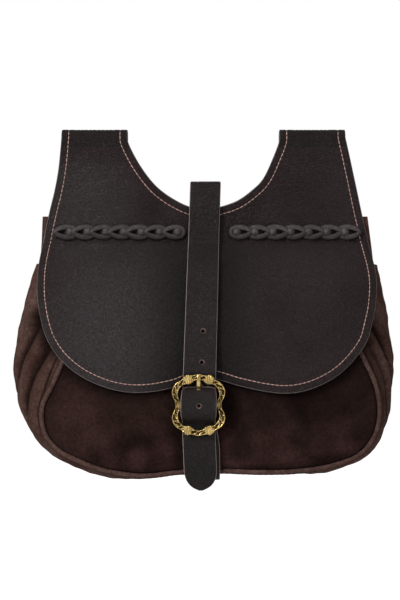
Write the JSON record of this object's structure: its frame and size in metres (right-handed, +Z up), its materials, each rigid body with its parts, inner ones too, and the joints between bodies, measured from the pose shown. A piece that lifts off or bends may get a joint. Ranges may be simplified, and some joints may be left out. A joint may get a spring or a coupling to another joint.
{
  "type": "belt bag",
  "caption": "Hollow suede belt pouch under a kidney-shaped leather flap with two folded belt loops, laced braids and a front strap closed by a cast buckle",
  "frame": {"origin": "the middle of the belt's run, where the bag hangs: halfway between the two loops, in the middle of their gap, at the height of their inner tops", "axes": "+X to the right seen from the front, +Y to the back (the wearer), +Z up"},
  "size_m": [0.2957, 0.0829, 0.2787],
  "materials": {
    "smooth_leather": "fine pebbled, near-black brown, soft sheen",
    "suede": "brushed nap, dark red-brown",
    "suede_piping": "brushed nap, worn lighter on the ridge",
    "lace_leather": "smooth lace, soft sheen",
    "strap_leather": "fine grained, raw light edges",
    "brass": "cast and tumbled, dark in the recesses"
  },
  "bodies": {
    "root": {"flap": "smooth_leather", "pouch_front": "suede", "pouch_gusset": "suede", "pouch_back": "suede", "piping": "suede_piping", "braid_left": "lace_leather", "braid_right": "lace_leather", "billet_strap": "strap_leather", "buckle_strap": "strap_leather", "buckle_frame": "brass", "buckle_prong": "brass"}
  },
  "joints": []
}
